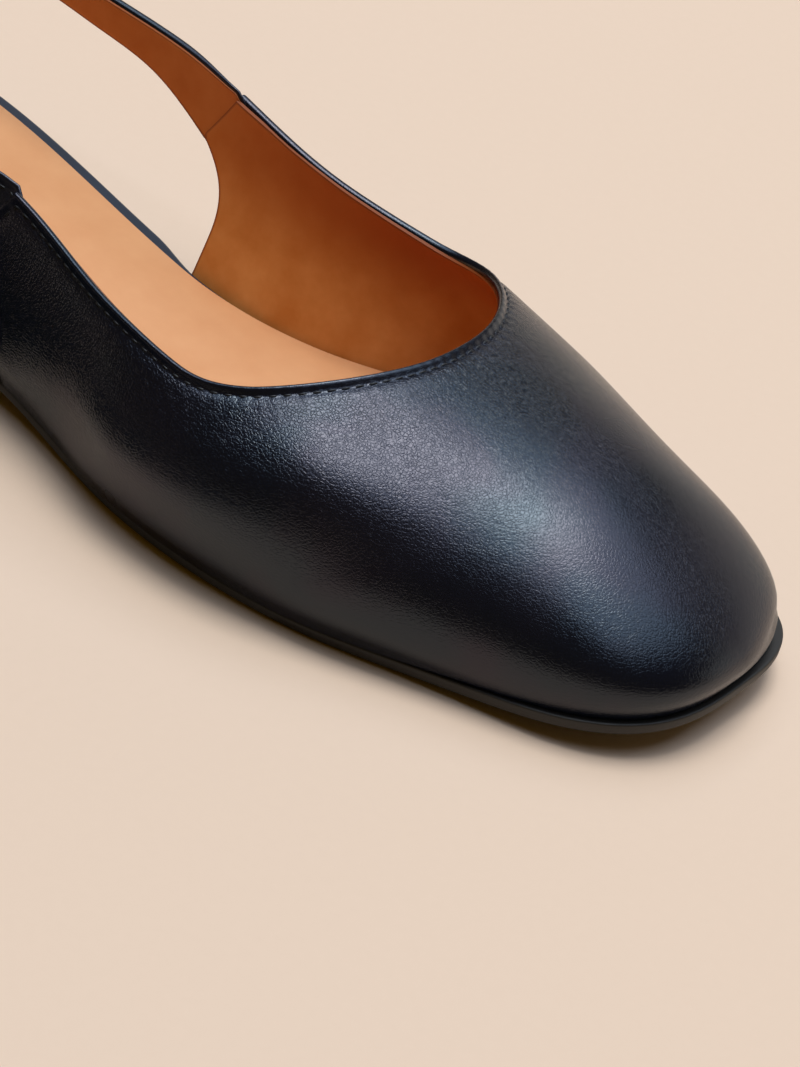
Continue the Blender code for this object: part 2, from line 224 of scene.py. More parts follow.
# Stations between which the plans of insole, sock and sole change at the wings and at the toe
WRAP_NARROWS = 112 * MM, 124 * MM
SOCK_NARROWS = 112 * MM, 126 * MM
SOCK_WIDENS = 122 * MM, 150 * MM
SOLE_NARROWS = 100 * MM, 125 * MM
SOLE_WIDENS = 200 * MM, 238 * MM
WALL_CLEARANCE = 0.1 * MM
SOCK_SINK = 0.3 * MM
SOCK_CROWN = 0.35 * MM
SOCK_CROWN_WIDTH = 8 * MM

# Edges in section. The outsole's, in millimetres: how far inside the plan, and its height over the outsole's
# top, first down to the trimmed wall and then round the underside, which the waist's bevel narrows. The heel
# block's: shares of HEEL_TAPER and of its height
SOLE_WALL = (0.5, 0.0), (0.18, -0.06), (0.03, -0.22), (0.0, -0.45), (0.0, -1.45)
SOLE_UNDERSIDE = (0.08, -1.8), (0.3, -2.05), (0.7, -2.2)
HEEL_EDGE = (0.0, 1.0), (0.0, 0.99), (0.97, 0.06), (1.0, 0.03), (1.25, 0.0)

# Stage. The black card lies on the floor behind the wing, its corner at CARD_PLACE
FLOOR_SIZE = 6.0
OVERHEAD_DIRECTION = math.radians(90), math.radians(80)
FILL_DIRECTION = math.radians(82), math.radians(12)
FILL_DISTANCE, FILL_WIDTH, FILL_HEIGHT = 1.6, 3.6, 0.75
FILL_COLOUR = 1.0, 0.97, 0.93
CARD_WIDTH, CARD_DEPTH, CARD_FRONT = 0.32, 0.4, 0.03
CARD_PLACE = -0.0405, -0.0902, 0.0005
CARD_TURN = math.radians(-48)

# Mesh density
PATH_STEPS = 500
PATH_CROWDING = 3
SETTLING_PASSES = 4
UPPER_COLUMN_STEP = 0.62 * MM
UPPER_ROWS = 46
LINING_COLUMN_STEP = 1.1 * MM
LINING_ROWS = 34
STRAP_COLUMNS = 420
SIDE_ROWS = 120
ROUND_ROWS = 40
SHARP_ANGLE = math.radians(50)
MERGE_DISTANCE = 0.0005 * MM
STITCH_SIDES, STITCH_RINGS = 8, 7
NEAREST_BATCH = 4000


def linear(hex_colour):
    """Linear RGBA of an sRGB hex colour."""
    srgb = [int(hex_colour[i:i + 2], 16) / 255 for i in (0, 2, 4)]
    return (*[c / 12.92 if c <= 0.04045 else ((c + 0.055) / 1.055) ** 2.4 for c in srgb], 1.0)


def smooth_curve(xs, ys):
    """A natural cubic through the points, as a function that stays level beyond its two ends."""
    xs, ys = np.asarray(xs, float), np.asarray(ys, float)
    step, count = np.diff(xs), len(xs)
    matrix, right = np.eye(count), np.zeros(count)
    for i in range(1, count - 1):
        matrix[i, i - 1:i + 2] = step[i - 1], 2 * (step[i - 1] + step[i]), step[i]
        right[i] = 6 * ((ys[i + 1] - ys[i]) / step[i] - (ys[i] - ys[i - 1]) / step[i - 1])
    bend = np.linalg.solve(matrix, right)

    def value(x):
        x = np.clip(x, xs[0], xs[-1])
        i = np.clip(np.searchsorted(xs, x) - 1, 0, count - 2)
        h, a, b = step[i], xs[i + 1] - x, x - xs[i]
        cubic = bend[i] * a**3 / (6 * h) + bend[i + 1] * b**3 / (6 * h)
        return cubic + (ys[i] / h - bend[i] * h / 6) * a + (ys[i + 1] / h - bend[i + 1] * h / 6) * b

    return value


def section_curve(column, size=1.0):
    """A column of SECTIONS, times the size that it is a share of, as a function of the station."""
    stations = [row.station * SHOE_LENGTH for row in SECTIONS]
    return smooth_curve(stations, [getattr(row, column) * size for row in SECTIONS])


medial = section_curve("medial", BALL_WIDTH)
lateral = section_curve("lateral", BALL_WIDTH)
ridge = section_curve("ridge", BALL_WIDTH)
flare = section_curve("flare", BALL_WIDTH)
crown = section_curve("crown", VAMP_HEIGHT)
wall_power = section_curve("wall_power")
crown_power = section_curve("crown_power")
topline_height = smooth_curve(
    [row.station * SHOE_LENGTH for row in TOPLINE], [row.height * WING_HEIGHT for row in TOPLINE]
)


def ease(t):
    """0 to 1 with level ends."""
    t = np.clip(t, 0, 1)
    return t * t * (3 - 2 * t)


def ramp(value, start, length):
    """0 up to start and 1 from start + length on, with level ends."""
    return ease((value - start) / length)


def sole_rise(station):
    """Height of the outsole's underside: the heel seat, the arch, the flat tread and the toe spring."""
    station = np.asarray(station, float)
    arch = HEEL_HEIGHT * ease((TREAD_BACK - station) / (TREAD_BACK - HEEL_BREAST))
    spring = TOE_SPRING * np.clip((station - TREAD_FRONT) / (SHOE_LENGTH - TREAD_FRONT), 0, None) ** 2
    return arch + spring


def above_sole(height):
    """A surface that follows the outsole's top at this height over it."""
    return lambda station: sole_rise(station) + OUTSOLE_THICKNESS + height


def place(station, x, z):
    """A point of the shoe in world coordinates."""
    return np.stack(np.broadcast_arrays(x, HEEL_CENTRE - station, z), axis=-1)


def toe_share(station):
    """0 up to where the toe's rounding starts, and 1 at its tip."""
    return np.clip((station - (SHOE_LENGTH - TOE_LENGTH)) / TOE_LENGTH, 0, None)


def last_point(station, across):
    """A point of the upper's outer surface in the part. across is -1 on the lateral feather line, 1 on the
    medial one."""
    forward = toe_share(station)
    reach = (np.abs(across) ** TOE_SQUARENESS + forward**TOE_SQUARENESS) ** (1 / TOE_SQUARENESS)
    level = (1 - np.clip(reach, 0, 1) ** wall_power(station)) ** (1 / crown_power(station))
    bulge = WALL_BULGE * 4 * level * (1 - level)
    half = np.where(across > 0, medial(station) - ridge(station), lateral(station) + ridge(station))
    x = ridge(station) + half * across * (1 + bulge) + flare(station) * level * np.clip(across, 0, None)
    z = sole_rise(station) + OUTSOLE_THICKNESS + GAP + FOOT_STRIP + (crown(station) - FOOT_STRIP) * level
    return place(station + TOE_LENGTH * bulge * forward**2, x, z)


def superellipse(power, count):
    """A quarter turn: shares that run from 0 to 1 and from 1 to 0 along it."""
    turn = np.linspace(0, math.pi / 2, count)
    return np.sin(turn) ** (2 / power), np.cos(turn) ** (2 / power)


def outline(inset, last_station=SHOE_LENGTH):
    """Plan of the sole from the heel's back forwards: stations, and x on the medial and on the lateral side.

    inset is a function of the station: how far inside the last's own outline the plan lies.
    """
    rise, fall = superellipse(HEEL_SQUARENESS, ROUND_ROWS)
    heel_stations = HEEL_LENGTH - (HEEL_LENGTH - inset(0.0)) * fall
    toe_start = SHOE_LENGTH - TOE_LENGTH
    if last_station < SHOE_LENGTH:
        sides = np.linspace(HEEL_LENGTH, last_station, ROUND_ROWS // 2)[1:]
        stations = np.concatenate([heel_stations, sides])
        share = np.concatenate([rise, np.ones(len(sides))])
    else:
        toe_rise, toe_fall = superellipse(TOE_SQUARENESS, ROUND_ROWS)
        sides = np.linspace(HEEL_LENGTH, toe_start, SIDE_ROWS)[1:-1]
        toe_stations = toe_start + (TOE_LENGTH - inset(SHOE_LENGTH)) * toe_rise
        stations = np.concatenate([heel_stations, sides, toe_stations])
        share = np.concatenate([rise, np.ones(len(sides)), toe_fall])
    centre = ridge(stations)
    medial_x = centre + (medial(stations) - centre - inset(stations)) * share
    lateral_x = centre - (lateral(stations) + centre - inset(stations)) * share
    return stations, medial_x, lateral_x


def resample(values, lengths, shares):
    """Rows of values at the given shares of the running lengths."""
    at = shares * lengths[-1]
    return np.stack([np.interp(at, lengths, column) for column in np.transpose(values)], axis=-1)


def running_length(points):
    """Length along a line up to each of its points."""
    return np.concatenate([[0], np.cumsum(np.linalg.norm(np.diff(points, axis=0), axis=1))])


def feather_curve():
    """The upper's foot as station and across, from the medial wing round the toe to the lateral wing."""
    rise, fall = superellipse(TOE_SQUARENESS, PATH_STEPS)
    toe_start = SHOE_LENGTH - TOE_LENGTH
    side = np.linspace(WING_FOOT, toe_start, PATH_STEPS)[:-1]
    half = np.stack([np.append(side, toe_start + TOE_LENGTH * rise), np.append(np.ones(len(side)), fall)], 1)
    return np.concatenate([half, half[-2::-1] * (1, -1)])


def topline_curve():
    """The collar as station and across, from the medial wing's tip round the throat to the lateral one."""
    rise, fall = superellipse(COLLAR_SQUARENESS, PATH_STEPS)
    side = np.linspace(WING_TIP, COLLAR_TURN, PATH_STEPS)[:-1]
    stations = np.append(side, COLLAR_TURN + (THROAT - COLLAR_TURN) * rise)
    turn = np.append(np.ones(len(side)), fall)
    level = (topline_height(stations) - sole_rise(stations) - OUTSOLE_THICKNESS) / crown(stations)
    across = (1 - level ** crown_power(stations)) ** (1 / wall_power(stations)) * turn
    half = np.stack([stations, across], axis=1)
    return np.concatenate([half, half[-2::-1] * (1, -1)])


def wing_station(share, foot, tip):
    """Station of the wing's rear edge by its share of the height: upright, then swept back to the strap."""
    sweep = np.clip((share - NOTCH_START) / (NOTCH_END - NOTCH_START), 0, 1) ** NOTCH_POWER
    notch = foot + (WING_NOTCH - foot) * sweep
    return notch + (tip - WING_NOTCH) * np.clip((share - NOTCH_END) / (1 - NOTCH_END), 0, 1)


def edge_steps(length, margin_steps, step):
    """Distances from 0 to length: the given steps in from both ends, and even ones between them."""
    start, end = margin_steps[-1], length - margin_steps[-1]
    between = np.linspace(start, end, max(3, math.ceil((end - start) / step) + 1))[1:-1]
    return np.concatenate([margin_steps, between, length - margin_steps[::-1]])


def upper_base(margin_steps, column_step, rows, top_trim=0.0, rear_trim=0.0):
    """A grid on the last for the upper or its lining. Row 0 is the topline, the last row the foot.

    The trims move the grid's topline and rear edges in from the fold. margin_steps are distances from the
    edge at which rows and columns lie close together.
    """
    feather, collar = feather_curve(), topline_curve()
    feather_length, collar_length = (running_length(last_point(*curve.T)) for curve in (feather, collar))
    across_foot = feather_length[-1] - 2 * rear_trim
    columns = edge_steps(across_foot, margin_steps, column_step)
    start = resample(feather, feather_length, (rear_trim + columns) / feather_length[-1])
    across_collar = collar_length[-1] - 2 * rear_trim
    collar_share = (rear_trim + columns / across_foot * across_collar) / collar_length[-1]
    end = resample(collar, collar_length, collar_share)
    way = np.linspace(0, 1, PATH_STEPS)[None, :] ** PATH_CROWDING
    straight = start[:, :1] + (end[:, :1] - start[:, :1]) * way
    across = start[:, 1:] + (end[:, 1:] - start[:, 1:]) * way
    rear = 1 - ease((start[:, :1] - WING_FOOT) / WING_REACH)
    path = last_point(straight, across)
    for _ in range(SETTLING_PASSES):
        share = (path[..., 2] - path[:, :1, 2]) / (path[:, -1:, 2] - path[:, :1, 2])
        swept = wing_station(share, start[:, :1], end[:, :1])
        path = last_point(straight + rear * (swept - straight), across)
    foot = path[:, :1] - (0, 0, FOOT_STRIP + GAP)
    paths = np.concatenate([foot, path], axis=1)[:, ::-1]
    grid = np.empty((len(margin_steps) + rows, len(columns), 3))
    for column, points in enumerate(paths):
        lengths = running_length(points)
        near = top_trim + margin_steps
        at = np.concatenate([near, np.linspace(near[-1], lengths[-1], rows + 1)[1:]])
        grid[:, column] = np.stack([np.interp(at, lengths, axis) for axis in points.T], axis=-1)
    return grid


def grid_normals(grid):
    """Unit normals of a grid whose rows run down and whose columns run from medial to lateral, looking out.

    Where an inset edge folds a few cells over at a sharp corner, their normals are turned back outwards.
    """
    normals = np.cross(np.gradient(grid, axis=1), np.gradient(grid, axis=0))
    inward = np.sum(normals * (grid - grid.mean(axis=(0, 1))), axis=-1, keepdims=True) < 0
    normals = np.where(inward, -normals, normals)
    return normals / np.linalg.norm(normals, axis=-1, keepdims=True)


def nearest_on_line(points, line):
    """For each point, its distance to the line and how far along the line its nearest point lies."""
    start, leg = line[:-1], np.diff(line, axis=0)
    lengths = running_length(line)
    size = (leg**2).sum(axis=1)
    distance, run = np.empty(len(points)), np.empty(len(points))
    for i in range(0, len(points), NEAREST_BATCH):
        batch = slice(i, i + NEAREST_BATCH)
        part = points[batch, None]
        t = np.clip(((part - start) * leg).sum(axis=2) / size, 0, 1)
        apart = np.linalg.norm(part - start - t[..., None] * leg, axis=2)
        best = apart.argmin(axis=1)
        rows = np.arange(len(best))
        distance[batch] = apart[rows, best]
        run[batch] = lengths[best] + t[rows, best] * np.sqrt(size[best])
    return distance, run


def grid_faces(rows, columns, first=0):
    """The quads of a grid of points, row by row, whose first point has this index."""
    corners = [first + r * columns + c for r in range(rows - 1) for c in range(columns - 1)]
    return [(i, i + 1, i + columns + 1, i + columns) for i in corners]


def rim_of(rows, columns):
    """The indices round a grid's border, in order."""
    top = list(range(columns))
    right = [r * columns + columns - 1 for r in range(1, rows)]
    bottom = [(rows - 1) * columns + c for c in range(columns - 2, -1, -1)]
    left = [r * columns for r in range(rows - 2, 0, -1)]
    return top + right + bottom + left


def make_mesh(name, points, faces, material, nodes=(), attributes=None):
    """A smooth-shaded piece that rides with the shoe, in place of these CAD nodes."""
    mesh = bpy.data.meshes.new(name)
    mesh.from_pydata(np.asarray(points, float).reshape(-1, 3).tolist(), [], faces)
    for key, values in (attributes or {}).items():
        attribute = mesh.attributes.new(key, "FLOAT", "POINT")
        attribute.data.foreach_set("value", np.asarray(values, np.float32).ravel())
    work = bmesh.new()
    work.from_mesh(mesh)
    bmesh.ops.remove_doubles(work, verts=work.verts, dist=MERGE_DISTANCE)
    bmesh.ops.recalc_face_normals(work, faces=work.faces)
    work.to_mesh(mesh)
    work.free()
    mesh.materials.append(material)
    mesh.shade_smooth()
    mesh.set_sharp_from_angle(angle=SHARP_ANGLE)
    piece = bpy.data.objects.new(name, mesh)
    bpy.context.scene.collection.objects.link(piece)
    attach(piece, "root")
    if nodes:
        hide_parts(*nodes)
    return piece


def make_sheet(name, outer, inner, material, nodes=(), attributes=None):
    """A closed sheet between two grids of the same size."""
    rows, columns = outer.shape[:2]
    count = rows * columns
    rim = rim_of(rows, columns)
    faces = grid_faces(rows, columns) + grid_faces(rows, columns, count)
    faces += [(a, b, b + count, a + count) for a, b in zip(rim, rim[1:] + rim[:1])]
    both = {key: np.concatenate([values.ravel()] * 2) for key, values in (attributes or {}).items()}
    points = np.concatenate([outer.reshape(-1, 3), inner.reshape(-1, 3)])
    return make_mesh(name, points, faces, material, nodes, both)


def make_slab(name, layers, material, nodes=()):
    """A solid between rings stacked from top to bottom. A layer is an outline and its height by station."""
    points, rings = [], []
    for (stations, medial_x, lateral_x), height in layers:
        z = height(stations)
        rings.append(len(points))
        points.extend([*place(stations, medial_x, z), *place(stations, lateral_x, z)[::-1]])
    size = rings[1]
    faces = []
    for upper, lower in zip(rings, rings[1:]):
        for i in range(size):
            j = (i + 1) % size
            faces.append((upper + i, upper + j, lower + j, lower + i))
    for ring in (rings[0], rings[-1]):
        for i in range(size // 2 - 1):
            faces.append((ring + i, ring + i + 1, ring + size - 2 - i, ring + size - 1 - i))
    return make_mesh(name, points, faces, material, nodes)


def add_node(tree, kind, inputs=(), **settings):
    """A node with its settings. inputs are pairs of a socket and its value, or the output that feeds it."""
    node = tree.nodes.new(kind)
    for key, value in settings.items():
        setattr(node, key, value)
    for socket, value in inputs:
        if isinstance(value, bpy.types.NodeSocket):
            tree.links.new(value, node.inputs[socket])
        else:
            node.inputs[socket].default_value = value
    return node


def new_material(name):
    """An empty material, its node tree and its output node."""
    material = bpy.data.materials.new(name)
    material.use_nodes = True
    material.node_tree.nodes.clear()
    return material, material.node_tree, material.node_tree.nodes.new("ShaderNodeOutputMaterial")


def finished_calf(name, colours, grain, depth, roughness):
    """Calf leather, drum-dyed and plated. To the eye: nearly black navy with a bluish sheen, a fine pebble
    grain that is flat on the fold, crisp beside it and ironed flatter away from it, and slow changes of
    gloss. The colours are the navy, where it is thinner, the sheen, and where that leans to violet."""
    material, tree, output = new_material(name)
    place_on = add_node(tree, "ShaderNodeTexCoord").outputs["Object"]
    bend = add_node(tree, "ShaderNodeTexNoise", [
        ("Vector", place_on), ("Scale", 0.5 / grain), ("Detail", 1.0),
    ])
    bent = add_node(tree, "ShaderNodeMix", [
        ("Factor", 0.0006), ("A", place_on), ("B", bend.outputs["Color"]),
    ], data_type="VECTOR")
    pebble = add_node(tree, "ShaderNodeTexVoronoi", [
        ("Vector", bent.outputs["Result"]), ("Scale", 1 / grain),
    ], feature="DISTANCE_TO_EDGE")
    creased = add_node(tree, "ShaderNodeMapRange", [
        ("Value", pebble.outputs["Distance"]), ("From Max", 0.22),
    ], interpolation_type="SMOOTHSTEP")
    pore = add_node(tree, "ShaderNodeTexNoise", [
        ("Vector", place_on), ("Scale", 1.3 / grain), ("Detail", 3.0), ("Roughness", 0.6),
    ])
    height = add_node(tree, "ShaderNodeMath", [
        (0, pore.outputs["Fac"]), (1, 1.8), (2, creased.outputs["Result"]),
    ], operation="MULTIPLY_ADD")
    edge = add_node(tree, "ShaderNodeAttribute", attribute_name="edge_distance")
    ironed = add_node(tree, "ShaderNodeMapRange", [
        ("Value", edge.outputs["Fac"]), ("From Min", 3 * MM), ("From Max", 40 * MM),
        ("To Min", 1.0), ("To Max", 0.5),
    ])
    folded = add_node(tree, "ShaderNodeMapRange", [
        ("Value", edge.outputs["Fac"]), ("From Min", 1 * MM), ("From Max", 2.6 * MM),
        ("To Min", 0.2), ("To Max", 1.0),
    ])
    pressed = add_node(tree, "ShaderNodeMath", [
        (0, ironed.outputs["Result"]), (1, folded.outputs["Result"]),
    ], operation="MULTIPLY")
    relief = add_node(tree, "ShaderNodeMath", [
        (0, height.outputs[0]), (1, pressed.outputs[0]),
    ], operation="MULTIPLY")
    bump = add_node(tree, "ShaderNodeBump", [
        ("Height", relief.outputs[0]), ("Strength", 1.0), ("Distance", depth),
    ])
    slow = add_node(tree, "ShaderNodeTexNoise", [
        ("Vector", place_on), ("Scale", 1 / (20 * MM)), ("Detail", 2.0),
    ])
    tone = add_node(tree, "ShaderNodeMix", [
        ("Factor", slow.outputs["Fac"]), ("A", colours[0]), ("B", colours[1]),
    ], data_type="RGBA")
    sheen = add_node(tree, "ShaderNodeMapRange", [
        ("Value", slow.outputs["Fac"]), ("From Min", 0.4), ("From Max", 0.6),
    ])
    tint = add_node(tree, "ShaderNodeMix", [
        ("Factor", sheen.outputs["Result"]), ("A", colours[2]), ("B", colours[3]),
    ], data_type="RGBA")
    gloss = add_node(tree, "ShaderNodeMapRange", [
        ("Value", slow.outputs["Fac"]), ("From Min", 0.3), ("From Max", 0.7),
        ("To Min", roughness - 0.03), ("To Max", roughness + 0.04),
    ])
    surface = add_node(tree, "ShaderNodeBsdfPrincipled", [
        ("Base Color", tone.outputs["Result"]), ("Roughness", gloss.outputs["Result"]), ("IOR", 1.5),
        ("Specular IOR Level", 0.55), ("Specular Tint", tint.outputs["Result"]), ("Normal", bump.outputs[0]),
    ])
    tree.links.new(surface.outputs[0], output.inputs["Surface"])
    return material


def lining_leather(name, colour, shade, high, cut, roughness):
    """Vegetable-tanned lining leather, undyed and unfinished. To the eye: warm tan, nearly matt, with faint
    cloudy patches and a nap too fine to cast shadows. Up the walls and towards the throat it turns to the
    high colour, which is painted shade for the shade that the walls cast there. With a cut colour, a strip
    along the cut edge is painted."""
    material, tree, output = new_material(name)
    place_on = add_node(tree, "ShaderNodeTexCoord").outputs["Object"]
    cloud = add_node(tree, "ShaderNodeTexNoise", [
        ("Vector", place_on), ("Scale", 1 / (9 * MM)), ("Detail", 4.0), ("Roughness", 0.55),
    ])
    nap = add_node(tree, "ShaderNodeTexNoise", [
        ("Vector", place_on), ("Scale", 1 / (0.5 * MM)), ("Detail", 3.0),
    ])
    spread = add_node(tree, "ShaderNodeMapRange", [
        ("Value", cloud.outputs["Fac"]), ("From Min", 0.3), ("From Max", 0.7),
    ])
    tone = add_node(tree, "ShaderNodeMix", [
        ("Factor", spread.outputs[0]), ("A", shade), ("B", colour),
    ], data_type="RGBA")
    # Painted shade: the lining turns to the high colour with height up the walls and towards the throat,
    # where the walls shade it
    level = add_node(tree, "ShaderNodeSeparateXYZ", [("Vector", place_on)])
    rise = add_node(tree, "ShaderNodeMapRange", [
        ("Value", level.outputs["Z"]), ("From Min", 14 * MM), ("From Max", 30 * MM),
    ], interpolation_type="SMOOTHSTEP")
    forward = add_node(tree, "ShaderNodeMapRange", [
        ("Value", level.outputs["Y"]), ("From Min", -92 * MM), ("From Max", -130 * MM),
        ("To Min", 0.5), ("To Max", 1.0),
    ])
    painted_shade_mask = add_node(tree, "ShaderNodeMath", [
        (0, rise.outputs["Result"]), (1, forward.outputs["Result"]),
    ], operation="MULTIPLY")
    with_painted_shade = add_node(tree, "ShaderNodeMix", [
        ("Factor", painted_shade_mask.outputs[0]), ("A", tone.outputs["Result"]), ("B", high),
    ], data_type="RGBA")
    finished = with_painted_shade
    if cut is not None:
        edge = add_node(tree, "ShaderNodeAttribute", attribute_name="edge_distance")
        inside = add_node(tree, "ShaderNodeMapRange", [
            ("Value", edge.outputs["Fac"]), ("From Min", 0.1 * MM), ("From Max", 0.5 * MM),
        ])
        finished = add_node(tree, "ShaderNodeMix", [
            ("Factor", inside.outputs["Result"]), ("A", cut), ("B", with_painted_shade.outputs["Result"]),
        ], data_type="RGBA")
    bump = add_node(tree, "ShaderNodeBump", [
        ("Height", nap.outputs["Fac"]), ("Strength", 0.25), ("Distance", 0.05 * MM),
    ])
    surface = add_node(tree, "ShaderNodeBsdfPrincipled", [
        ("Base Color", finished.outputs["Result"]), ("Roughness", roughness), ("IOR", 1.5),
        ("Normal", bump.outputs[0]), ("Specular IOR Level", 0.3),
    ])
    tree.links.new(surface.outputs[0], output.inputs["Surface"])
    return material


def moulded_rubber(name, dark, light, roughness):
    """Black-brown rubber, moulded and edge-trimmed. To the eye: a dull, nearly black edge with a faint
    stipple, drawn coarser than the mould's so that it shows."""
    material, tree, output = new_material(name)
    place_on = add_node(tree, "ShaderNodeTexCoord").outputs["Object"]
    stipple = add_node(tree, "ShaderNodeTexNoise", [
        ("Vector", place_on), ("Scale", 1 / (0.6 * MM)), ("Detail", 4.0),
    ])
    tone = add_node(tree, "ShaderNodeMix", [
        ("Factor", stipple.outputs["Fac"]), ("A", dark), ("B", light),
    ], data_type="RGBA")
    bump = add_node(tree, "ShaderNodeBump", [
        ("Height", stipple.outputs["Fac"]), ("Strength", 0.3), ("Distance", 0.06 * MM),
    ])
    surface = add_node(tree, "ShaderNodeBsdfPrincipled", [
        ("Base Color", tone.outputs["Result"]), ("Roughness", roughness), ("IOR", 1.52),
        ("Normal", bump.outputs[0]),
    ])
    tree.links.new(surface.outputs[0], output.inputs["Surface"])
    return material


def bonded_thread(name, dark, light):
    """Bonded polyester sewing thread. To the eye: tiny dark beads with a soft glint and a slight twist. The
    lighter colour in bands along the twist is a painted glint on the raised strands.
    """
    material, tree, output = new_material(name)
    place_on = add_node(tree, "ShaderNodeTexCoord").outputs["Object"]
    # Painted glint: the lighter colour in bands along the thread's twist
    twist = add_node(tree, "ShaderNodeTexWave", [
        ("Vector", place_on), ("Scale", 1 / (1.6 * MM)), ("Distortion", 2.0),
    ])
    tone = add_node(tree, "ShaderNodeMix", [
        ("Factor", twist.outputs["Fac"]), ("A", dark), ("B", light),
    ], data_type="RGBA")
    surface = add_node(tree, "ShaderNodeBsdfPrincipled", [
        ("Base Color", tone.outputs["Result"]), ("Roughness", 0.5), ("IOR", 1.5),
    ])
    tree.links.new(surface.outputs[0], output.inputs["Surface"])
    return material


def backdrop_paper(name, colour, shade):
    """Seamless studio paper, matt. To the eye: one even pale beige."""
    material, tree, output = new_material(name)
    place_on = add_node(tree, "ShaderNodeTexCoord").outputs["Object"]
    fibre = add_node(tree, "ShaderNodeTexNoise", [
        ("Vector", place_on), ("Scale", 1 / (2 * MM)), ("Detail", 2.0),
    ])
    tone = add_node(tree, "ShaderNodeMix", [
        ("Factor", fibre.outputs["Fac"]), ("A", shade), ("B", colour),
    ], data_type="RGBA")
    surface = add_node(tree, "ShaderNodeBsdfPrincipled", [
        ("Base Color", tone.outputs["Result"]), ("Roughness", 0.9), ("Specular IOR Level", 0.1),
    ])
    tree.links.new(surface.outputs[0], output.inputs["Surface"])
    return material


def length_property(name, description, millimetres, most=50.0):
    """A length that a user can change, with its default and its most in millimetres."""
    return bpy.props.FloatProperty(
        name=name, description=description, default=millimetres * MM, min=0.0, max=most * MM,
        precision=5, unit="LENGTH",
    )


def colour_property(name, description, hex_colour):
    """A colour that a user can change, with its default as an sRGB hex value."""
    return bpy.props.FloatVectorProperty(
        name=name, description=description, default=linear(hex_colour), min=0.0, max=1.0,
        size=4, subtype="COLOR",
    )


class ShoeSizes(bpy.types.PropertyGroup):
    """Thicknesses, stitches and surface relief."""

    leather: length_property("Upper leather", "Thickness of the outer leather", 1.0)
    lining: length_property("Lining", "Thickness of the lining", 0.75)
    lining_trim: length_property("Lining trim", "How far below the fold the lining is cut", 0.55)
    rear_trim: length_property("Rear trim", "How far inside the wings' rear edges the lining is cut", 0.4)
    stitch_line: length_property("Stitch line", "Distance of the stitches from the folded edge", 1.75)
    stitch_pitch: length_property("Stitch pitch", "Distance from one stitch to the next", 2.3)
    stitch_length: length_property("Stitch length", "Length of thread that shows in one stitch", 1.75)
    thread: length_property("Thread", "Diameter of the sewing thread", 0.38)
    pucker: length_property("Pucker", "How deep the leather gathers at each needle hole", 0.05)
    shoulder: length_property("Shoulder", "How far the outer side's shoulder swells out over the last", 1.8)
    ripple: length_property("Ripple", "How far the vamp wavers off the last's true surface", 0.10)
    strap_dip: length_property("Strap dip", "How far the strap's end lies under the wing's face", 0.85)
    skived_strap: length_property("Skived strap", "Thickness of the strap's end under the wing", 0.9)
    sock_rim: length_property("Sock rim", "Width of wrapped insole that the sock leaves free", 3.0)
    sock_gap: length_property("Sock gap", "How much more it leaves free beside the wings", 0.2)
    sock_edge: length_property("Sock edge", "How far the sock's edge stands over the insole", 0.4)
    roll_under: length_property("Roll under", "How far the upper's sides roll in at the sole", 1.5)
    roll_at_toe: length_property("Roll at the toe", "The same at the toe", 0.35)
    toe_lean: length_property("Toe lean", "How far the inner wall of the toe leans in over the last", 3.0)
    sole_inset: length_property("Sole inset", "How far the sole's sides stand in under the upper", 1.6)
    toe_ledge: length_property("Sole ledge", "How far the sole stands out beyond the upper at the toe", 0.8)
    grain: length_property("Grain", "Width of one pebble of the calf's grain", 0.55)
    grain_depth: length_property("Grain depth", "Height of the calf's grain by the folded edge", 0.030)


class ShoeColours(bpy.types.PropertyGroup):
    """Colours of the leathers, the thread and the sole."""

    navy: colour_property("Navy", "Deep colour of the calf leather", "040816")
    navy_light: colour_property("Worn navy", "Colour of the calf where the finish is thinner", "080B18")
    sheen: colour_property("Sheen", "Tint that the calf's finish gives to a highlight", "E6F4FF")
    sheen_violet: colour_property("Violet sheen", "The same, where the finish leans to violet", "F6F1FF")
    # The wrap's navy is lighter than the upper's: navy leather with a painted reflection of the sky in it
    wrap: colour_property("Insole wrap", "Colour of the leather round the insole", "1A2130")
    wrap_light: colour_property("Worn insole wrap", "The same, where the finish is thinner", "222B3C")
    tan: colour_property("Tan", "Colour of the sock", "DC9E6C")
    tan_shade: colour_property("Tan shade", "Darker patches of the sock", "D69664")
    lining: colour_property("Lining", "Colour of the lining", "DE944F")
    # Painted shade: the colour that the lining turns to up the walls and towards the throat, where the walls
    # shade it
    lining_painted_shade: colour_property("Lining in painted shade", "Painted shade up the lining's walls and towards the throat", "AA4E02")
    lining_cut: colour_property("Painted lining edge", "Colour of the lining's cut edge", "8A4418")
    lining_shade: colour_property("Lining shade", "Darker patches of the lining", "C97A34")
    thread: colour_property("Thread", "Colour of the sewing thread", "030409")
    # Painted glint: the lighter colour of the thread's raised twist
    thread_painted_glint: colour_property("Thread glint", "Colour of the thread's raised twist", "080A10")
    sole: colour_property("Sole", "Colour of the outsole and the heel block", "110E0A")
    sole_light: colour_property("Sole stipple", "Paler specks of the outsole and the heel block", "1D1915")


